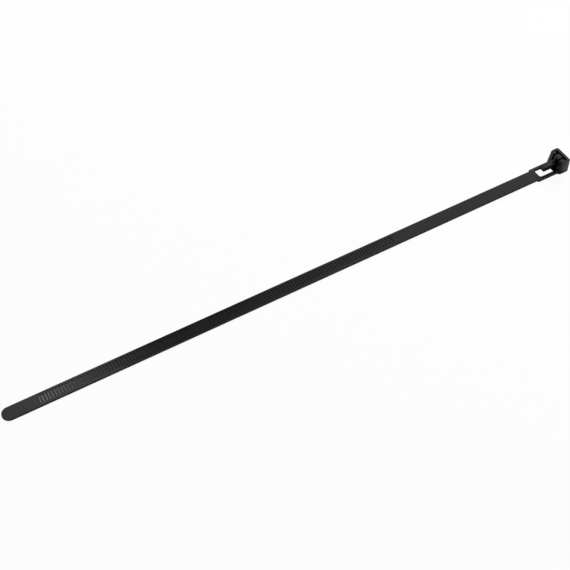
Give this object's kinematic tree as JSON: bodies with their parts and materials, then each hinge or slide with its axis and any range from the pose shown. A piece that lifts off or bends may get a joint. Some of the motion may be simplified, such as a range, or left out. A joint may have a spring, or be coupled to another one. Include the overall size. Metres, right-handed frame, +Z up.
{
  "type": "releasable cable tie",
  "caption": "Long flat releasable cable tie: round smooth tail, toothed strap, windowed neck, and a head whose sprung pawl is let go by a trigger.",
  "frame": {"origin": "midway along the tie, on the surface that it rests on", "axes": "+X along the strap from the tail towards the head, +Z up, away from the flat underside"},
  "size_m": [0.35, 0.0122, 0.0085],
  "materials": {
    "nylon": "satin black moulded nylon"
  },
  "bodies": {
    "root": {"cable_tie": "nylon"}
  },
  "joints": []
}
